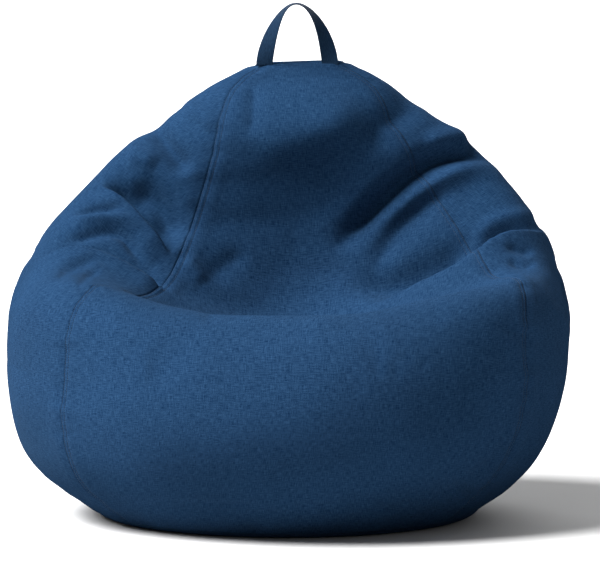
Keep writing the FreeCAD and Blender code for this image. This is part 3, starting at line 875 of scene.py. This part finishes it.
def fabric_by_place(name, dark, light, pitch, roughness=0.9, sheen=0.1):
    """A fine plain weave for small sewn parts, laid out by where the piece is."""
    f = Finish(name)
    slubs = f.noise(f.scaled(f.place(), (900, 900, 300)), 1.0, 2)
    normal = f.bump(f.plus(woven(f, f.place(), pitch), slubs), 0.2 * MM, 0.5)
    return f.set(Base_Color=f.ramp(slubs, [(0.3, dark), (0.7, light)]), Roughness=roughness, Normal=normal,
                 Sheen_Weight=sheen, Specular_IOR_Level=0.08)


def plated(name, colour):
    """Plated metal with fine rubbing marks."""
    f = Finish(name)
    marks = f.noise(f.scaled(f.place(), (400, 2500, 2500)), 1.0, 3)
    tone = f.ramp(marks, [(0.3, tuple(0.82 * c for c in colour)), (0.7, colour)])
    return f.set(Base_Color=tone, Metallic=1.0, Roughness=f.between(marks, 0.22, 0.48, 0, 1),
                 Normal=f.bump(marks, 0.04 * MM, 0.4))


def moulded(name, dark, light, grain, roughness):
    """A matt plastic with a faint grain."""
    f = Finish(name)
    marks = f.noise(f.place(), grain, 3)
    return f.set(Base_Color=f.ramp(marks, [(0.3, dark), (0.7, light)]), Normal=f.bump(marks, 0.1 * MM, 0.4),
                 Roughness=f.between(marks, roughness - 0.08, roughness + 0.08, 0, 1), Specular_IOR_Level=0.4)


COVER = heather("heathered_cover_cloth", (0.0006, 0.0070, 0.0250), (0.0155, 0.0420, 0.0900))
WEBBING = webbing("navy_webbing", (0.0006, 0.0040, 0.0130), (0.0060, 0.0200, 0.0440))
THREAD = fabric_by_place("navy_thread", (0.0015, 0.006, 0.018), (0.008, 0.021, 0.046), 0.25 * MM, 0.7)
TAPE = fabric_by_place("navy_zip_tape", (0.003, 0.008, 0.021), (0.010, 0.022, 0.047), 0.5 * MM)
COIL = moulded("navy_nylon_coil", (0.004, 0.010, 0.025), (0.008, 0.018, 0.040), 900, 0.45)
LINER = fabric_by_place("off_white_liner", (0.62, 0.62, 0.59), (0.80, 0.80, 0.78), 0.8 * MM)
BEADS = moulded("foam_beads", (0.80, 0.80, 0.79), (0.92, 0.92, 0.91), 320, 0.75)
SLIDER = plated("plated_slider", (0.42, 0.42, 0.44))
STOPS = plated("plated_stops", (0.50, 0.50, 0.52))
COVER_TRIM = fabric_by_place("heathered_trim_cloth", (0.0006, 0.0065, 0.0235), (0.0135, 0.0390, 0.0840), 0.9 * MM,
                             sheen=0.02)
TAIL = fabric_by_place("navy_strap_end", (0.002, 0.007, 0.020), (0.014, 0.029, 0.056), 1.3 * MM)
LABEL = fabric_by_place("blank_satin_label", (0.78, 0.78, 0.76), (0.90, 0.90, 0.88), 0.35 * MM, 0.45, 0.3)

# ---- the cover's panels

FRONT_SEAMS = (lambda v: seam_bearing(-1, v), lambda v: seam_bearing(1, v))


def fixed(bearing):
    return lambda v: np.full(len(v), float(bearing))


ROWS = 330
WRINKLES = simulated_wrinkles()
PANELS = [
    Panel("front_panel", FRONT_SEAMS[0], FRONT_SEAMS[1], ROWS, 210, (1, 2), True),
    Panel("right_panel", FRONT_SEAMS[1], fixed(BACK_SEAM_BEARING), ROWS, 120, (2, 3), False),
    Panel("back_panel", fixed(BACK_SEAM_BEARING), fixed(TURN - BACK_SEAM_BEARING), ROWS, 200, (3, 4), False,
          slot=(180 - ZIP_HALF_ARC, 180 + ZIP_HALF_ARC)),
    Panel("left_panel", fixed(-BACK_SEAM_BEARING), FRONT_SEAMS[0], ROWS, 120, (4, 1), False),
]


def without_slot(quads, bearing, station, half_arc):
    """The quads without those over a zip's slot, beside the base seam at the back."""
    beside = np.abs(bearing.ravel()[quads].mean(1) - 180) >= half_arc
    return quads[beside | (station.ravel()[quads].mean(1) <= SLOT_STATION)]


def make_panel(panel):
    quads = grid_quads(*panel.station.shape)
    if panel.name == "back_panel":
        quads = without_slot(quads, panel.bearing, panel.station, ZIP_HALF_ARC)
    outer = panel.points.reshape(-1, 3)
    across = panel.from_first - panel.from_first[:, -1:] / 2
    uv = np.stack([across, -panel.station * CLOTH_LENGTH], -1).reshape(-1, 2)
    points, faces = closed_cloth(outer, outer - CLOTH * panel.normal.reshape(-1, 3), quads)
    points, faces, uv = unused_removed(points, faces, np.concatenate([uv, uv]))
    dressed(make_piece(panel.name, points, faces, COVER, uv), "cover_cloth", "cover_" + panel.name, fill=0.8)


for panel in PANELS:
    make_panel(panel)

stitch = capsule(3.2 * MM, 0.7 * MM, 0.25 * MM)
stitching = [PANELS[0].line(last, away) for last in (False, True) for away in (EDGE_STITCH, TOPSTITCH)]
stitching += [PANELS[2].line(last, EDGE_STITCH) for last in (False, True)]
topstitching = along_lines("topstitching", stitching, stitch, 4.2 * MM, THREAD)
dressed(topstitching, "cover_cloth")
bpy.data.objects.remove(stitch)

# ---- cap, base and handle

FOOT_Y = CAP_LOW.y + 1.8 * MM
STRAP_HALF = 13.5 * MM
STRAP_THICK = 2.4 * MM
HANDLE_SPAN = 101 * MM
HANDLE_HEIGHT = 95 * MM
HANDLE_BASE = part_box("handle_strap")[0].z
HANDLE_TURNS = [0, 45, 90, 135, 180]  # degrees round the arch, from its foot on the +X side
HANDLE_LEAN = np.array([-1, -7, -5, 0, -6])  # how far the limp strap stands from its true arch, in millimetres


def make_disc(name, outer, inner):
    """A closed disc of cloth between two grids of rings, where the first grid is the side that shows."""
    sides, count = outer.shape[1], outer.shape[0] * outer.shape[1]
    quads = grid_quads(len(outer), sides, wrap=True)
    points, faces = closed_cloth(outer.reshape(-1, 3), inner.reshape(-1, 3), quads)
    centres = [range(sides), range(count, count + sides)]
    hole = set(centres[0]) | set(centres[1])
    faces = [face for face in faces.tolist() if not set(face) <= hole] + centres
    piece = make_piece(name, points, faces, COVER, points[:, :2])
    turn_outwards(piece)
    dressed(piece, "cover_cloth", "cover_" + name, fill=0.3)


def make_cap():
    """The small cap at the peak, which swells a little between its sewn-down edges."""
    sides = 120
    bearings = np.arange(sides) * TURN / sides
    edge = plain_surface(bearings, np.zeros(sides)) + settled(bearings, np.zeros(sides))
    rings = np.concatenate([np.linspace(0.02, 0.86, 18), [0.90, 0.94, 0.97, 0.99, 1.0]])
    outer = edge.mean(0) + (edge - edge.mean(0)) * rings[:, None, None]
    swell = 2.6 * MM * (1 - rings**4) - 0.9 * MM * ridge(1 - rings, 0.08)
    uneven = 0.6 * MM * lumps(outer.reshape(-1, 3), 0.022, 31).reshape(outer.shape[:2])
    outer[..., 2] += (CLOTH + swell)[:, None] + uneven
    make_disc("top_cap", outer, outer - [0, 0, CLOTH])


def make_base():
    """The disc that it stands on: flat on the floor, with a rim that turns up to the base seam."""
    arc = BASE_SEAM_HEIGHT / (1 - math.cos(SKIRT_SLOPE))
    flat = BASE_RADIUS - arc * math.sin(SKIRT_SLOPE)
    slope = np.concatenate([np.zeros(31), np.linspace(0, SKIRT_SLOPE, 9)[1:]])
    radii = np.concatenate([[0.01], np.linspace(0.05, 1, 30), np.ones(8)]) * flat + arc * np.sin(slope)
    turn = TURN_RADIANS * np.arange(240) / 240
    outer = np.stack([np.outer(radii, np.sin(turn)), -np.outer(radii, np.cos(turn)),
                      np.outer(arc * (1 - np.cos(slope)), np.ones(240))], -1)
    narrower = 1 - CLOTH / BASE_RADIUS / 2
    make_disc("base_panel", outer, outer * [narrower, narrower, 1] + [0, 0, CLOTH])


def make_handle():
    """The strap: its width lies across the seam at the feet, and turns front to back at the crown."""
    sections, sides = 96, 56
    stretch = HANDLE_BASE - BAG_HEIGHT + 1.5 * MM
    around = TURN_RADIANS * np.arange(sides) / sides
    shape_x = np.sign(np.cos(around)) * np.abs(np.cos(around)) ** 0.32
    shape_y = np.sign(np.sin(around)) * np.abs(np.sin(around)) ** 0.55
    points, grain, far, before = [], [], 0.0, None
    for k in range(-2, sections + 3):
        turn = math.pi * min(max(k, 0), sections) / sections
        below = max(-k, k - sections, 0) / 2
        twist = math.pi / 2 * math.sin(turn)
        outward = Vector((math.cos(turn) * HANDLE_HEIGHT, 0, math.sin(turn) * HANDLE_SPAN / 2)).normalized()
        across = outward * math.cos(twist) + Vector((0, math.sin(twist), 0))
        thick = across.cross(Vector((-outward.z, 0, outward.x)))
        lean = float(spline_weights(HANDLE_TURNS, math.degrees(turn)) @ HANDLE_LEAN) * MM
        middle = Vector((LEAN + math.cos(turn) * HANDLE_SPAN / 2 + lean, FOOT_Y,
                         HANDLE_BASE + math.sin(turn) * HANDLE_HEIGHT - below * stretch))
        far += (middle - before).length if before else 0.0
        before = middle
        for a, b in zip(shape_x, shape_y):
            edge = 0.82 + 0.30 * smooth(0.80, 0.97, abs(a)) * (1 - smooth(0.97, 1.0, abs(a)))
            points.append(tuple(middle + across * (a * STRAP_HALF) + thick * (b * edge * STRAP_THICK / 2)))
            grain.append((a * STRAP_HALF + (0.03 if b < 0 else 0), far))
    piece = make_piece("handle_webbing", points, tube_faces(sections + 5, sides), WEBBING, grain)
    turn_outwards(piece)
    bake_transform(piece)
    dressed(piece, "webbing", "handle_strap", body=None)


make_cap()
make_base()
make_handle()

# ---- liner and beads


LINER_SKIRT_INSET = 9 * MM
FILLING_SKIRT_INSET = 16 * MM
LINER_FLOOR = 4.2 * MM
LINER_ZIP_HALF_ARC = 34.0
UNDER_COLUMNS, UNDER_ROWS = 144, 111


def lowest_cloth():
    """The lowest height of the cover's folds round each place of a coarse grid."""
    bearings = np.arange(UNDER_COLUMNS) * TURN / UNDER_COLUMNS
    b, s = np.meshgrid(bearings, np.linspace(0, 1, UNDER_ROWS))
    heights = cloth_heights(b, s, plain_surface(b, s), plain_normal(b, s))
    lowest = heights
    for i in range(-3, 4):
        rows = np.clip(np.arange(UNDER_ROWS) + i, 0, UNDER_ROWS - 1)
        for j in range(-2, 3):
            lowest = np.minimum(lowest, np.roll(heights[rows], j, 1))
    return lowest


LOWEST = lowest_cloth()


def sunken(bearing, station, inset, skirt_inset):
    """Points of a layer inside the cover, which stays under every fold."""
    across = (bearing % TURN) / TURN * UNDER_COLUMNS
    along = np.clip(station, 0, 1) * (UNDER_ROWS - 1)
    j, i = np.floor(across).astype(int), np.minimum(np.floor(along).astype(int), UNDER_ROWS - 2)
    across, along = across - j, along - i
    above, below = (LOWEST[row, j % UNDER_COLUMNS] * (1 - across) + LOWEST[row, (j + 1) % UNDER_COLUMNS] * across
                    for row in (i, i + 1))
    skirt = smooth(0.93, SLOT_STATION, station)
    depth = inset * (1 - skirt) + skirt_inset * skirt
    height = np.minimum(above * (1 - along) + below * along, 0) - depth
    return plain_surface(bearing, station) + plain_normal(bearing, station) * height[..., None]


def make_liner_half(name, middle):
    """Half of the liner, from side to side; the back half has the slot for its zip."""
    stations = np.concatenate([np.linspace(0.004, SLOT_STATION, 150), [1 - (1 - SLOT_STATION) / 2, 1.0]])
    b, s = np.meshgrid(np.linspace(middle - 90, middle + 90, 91), stations)
    quads = grid_quads(*b.shape)
    if middle == 180:
        quads = without_slot(quads, b, s, LINER_ZIP_HALF_ARC)
    outer = sunken(b, s, CLOTH + EASE + 8 * MM, LINER_SKIRT_INSET).reshape(-1, 3)
    points, faces = closed_cloth(outer, outer - LINER_CLOTH * plain_normal(b, s).reshape(-1, 3), quads)
    points, faces, _ = unused_removed(points, faces, points[:, :2])
    dressed(make_piece("inner_" + name, points, faces, LINER), "liner_cloth", name, fill=0.8)


def make_beads():
    """The heap of beads, which fills the liner."""
    sides = 120
    stations = np.concatenate([[0.006], np.linspace(0.012, 1, 110)])
    b, s = np.meshgrid(np.arange(sides) * TURN / sides, stations)
    outer = sunken(b, s, CLOTH + EASE + LINER_CLOTH + 13 * MM, FILLING_SKIRT_INSET)
    outer[..., 2] = np.clip(outer[..., 2], LINER_FLOOR + LINER_CLOTH + 1 * MM, BAG_HEIGHT - 12 * MM)
    piece = make_piece("bead_heap", outer.reshape(-1, 3), tube_faces(len(stations), sides), BEADS)
    turn_outwards(piece)
    dressed(piece, "beads", "bead_filling", fill=0.8)


make_liner_half("liner_front_half", 0)
make_liner_half("liner_back_half", 180)
make_beads()

# ---- zips and small parts


def coil_turn(width, height, wire=0.55 * MM):
    """One turn of a nylon coil, which leans along the zip."""
    points, faces, steps, sides = [], [], 14, 6
    for i in range(steps):
        a = TURN_RADIANS * i / steps
        up, side = math.sin(a), math.cos(a)
        middle = Vector((0.35 * MM * up, (width - wire) / 2 * side, (height - wire) / 2 * up))
        out = Vector((0, side, up)) * wire / 2
        j = (i + 1) % steps
        for k in range(sides):
            t, m = TURN_RADIANS * k / sides, (k + 1) % sides
            points.append(tuple(middle + out * math.cos(t) + Vector((math.sin(t) * wire / 2, 0, 0))))
            faces.append((i * sides + k, i * sides + m, j * sides + m, j * sides + k))
    item = linked("coil_turn", plain_mesh("coil_turn", points, faces))
    turn_outwards(item)
    return item


def zip_line(along, out, half_arc):
    """Points and normals along a zip, on the cone above the base seam."""
    bearings = np.radians(np.linspace(180 - half_arc + 1.2, 180 + half_arc - 1.2, 160))
    ring = np.stack([np.sin(bearings), -np.cos(bearings)], -1)
    radius, height = skirt_point(along, out)
    return tuple(np.column_stack([wide * ring, np.full(160, high)])
                 for wide, high in ((radius, height), (math.sin(SKIRT_SLOPE), -math.cos(SKIRT_SLOPE))))


def make_coils():
    coil = coil_turn(2.4 * MM, 2.4 * MM)
    for layer, depth, half_arc in (("cover", 0, ZIP_HALF_ARC), ("liner", LINER_SKIRT_INSET, LINER_ZIP_HALF_ARC)):
        for which, along in (("lower", 7.15 * MM), ("upper", 10.85 * MM)):
            line = zip_line(along, -depth - 0.9 * MM, half_arc)
            name = f"{layer}_zip_{which}_coil"
            dressed(along_lines("spun_" + name, [line], coil, 1.15 * MM, COIL), "zip_coil", name)
    bpy.data.objects.remove(coil)


make_coils()

CARRIED = {"liner_top_disc": LINER, "liner_base_disc": LINER, "care_label": LABEL, "cover_zip_garage": COVER_TRIM,
           "handle_left_tail": TAIL, "handle_right_tail": TAIL}
for layer in ("cover", "liner"):
    for part, material in (("slider", SLIDER), ("stops", STOPS), ("lower_tape", TAPE), ("upper_tape", TAPE)):
        CARRIED[f"{layer}_zip_{part}"] = material
for name, material in CARRIED.items():
    node = bpy.data.objects[name]
    node.data.materials.clear()
    node.data.materials.append(material)

# ---- floor, light and camera


def make_floor():
    f = Finish("pale_floor")
    tone = f.ramp(f.noise(f.place(), 3.0, 3), [(0.3, (0.53, 0.53, 0.53)), (0.7, (0.55, 0.55, 0.55))])
    material = f.set(Base_Color=tone, Roughness=0.9, Specular_IOR_Level=0.1)
    points = [(x * 60, y * 60, 0) for x, y in ((-1, -1), (1, -1), (1, 1), (-1, 1))]
    make_piece("floor", points, [(0, 1, 2, 3)], material)


def add_sun(name, energy, spread, towards):
    """A broad, soft light a long way off; towards points from the chair to the light."""
    data = bpy.data.lights.new(name, "SUN")
    data.energy = energy
    data.angle = math.radians(spread)
    linked(name, data).rotation_euler = Vector(towards).to_track_quat("Z", "Y").to_euler()


def make_light():
    add_sun("key_light", 12.6, 34, (-0.78, -0.26, 0.96))
    add_sun("back_light", 3.0, 60, (0.05, 1.0, 0.30))
    world = bpy.data.worlds.new("studio")
    bpy.context.scene.world = world
    world.use_nodes = True
    sky = world.node_tree.nodes["Background"].inputs
    sky["Color"].default_value, sky["Strength"].default_value = (1, 1, 1, 1), 0.26
    bpy.context.scene.view_settings.view_transform = "Standard"


def make_camera():
    data = bpy.data.cameras.new("camera")
    data.sensor_width = 36
    data.lens = 36 * EYE_DISTANCE / VIEW_WIDTH
    data.clip_end = 200
    camera = linked("camera", data)
    away = Vector((0, -math.cos(EYE_ELEVATION), math.sin(EYE_ELEVATION)))
    camera.location = LOOK_AT + EYE_DISTANCE * away
    camera.rotation_euler = away.to_track_quat("Z", "Y").to_euler()
    bpy.context.scene.camera = camera


make_floor()
make_light()
make_camera()
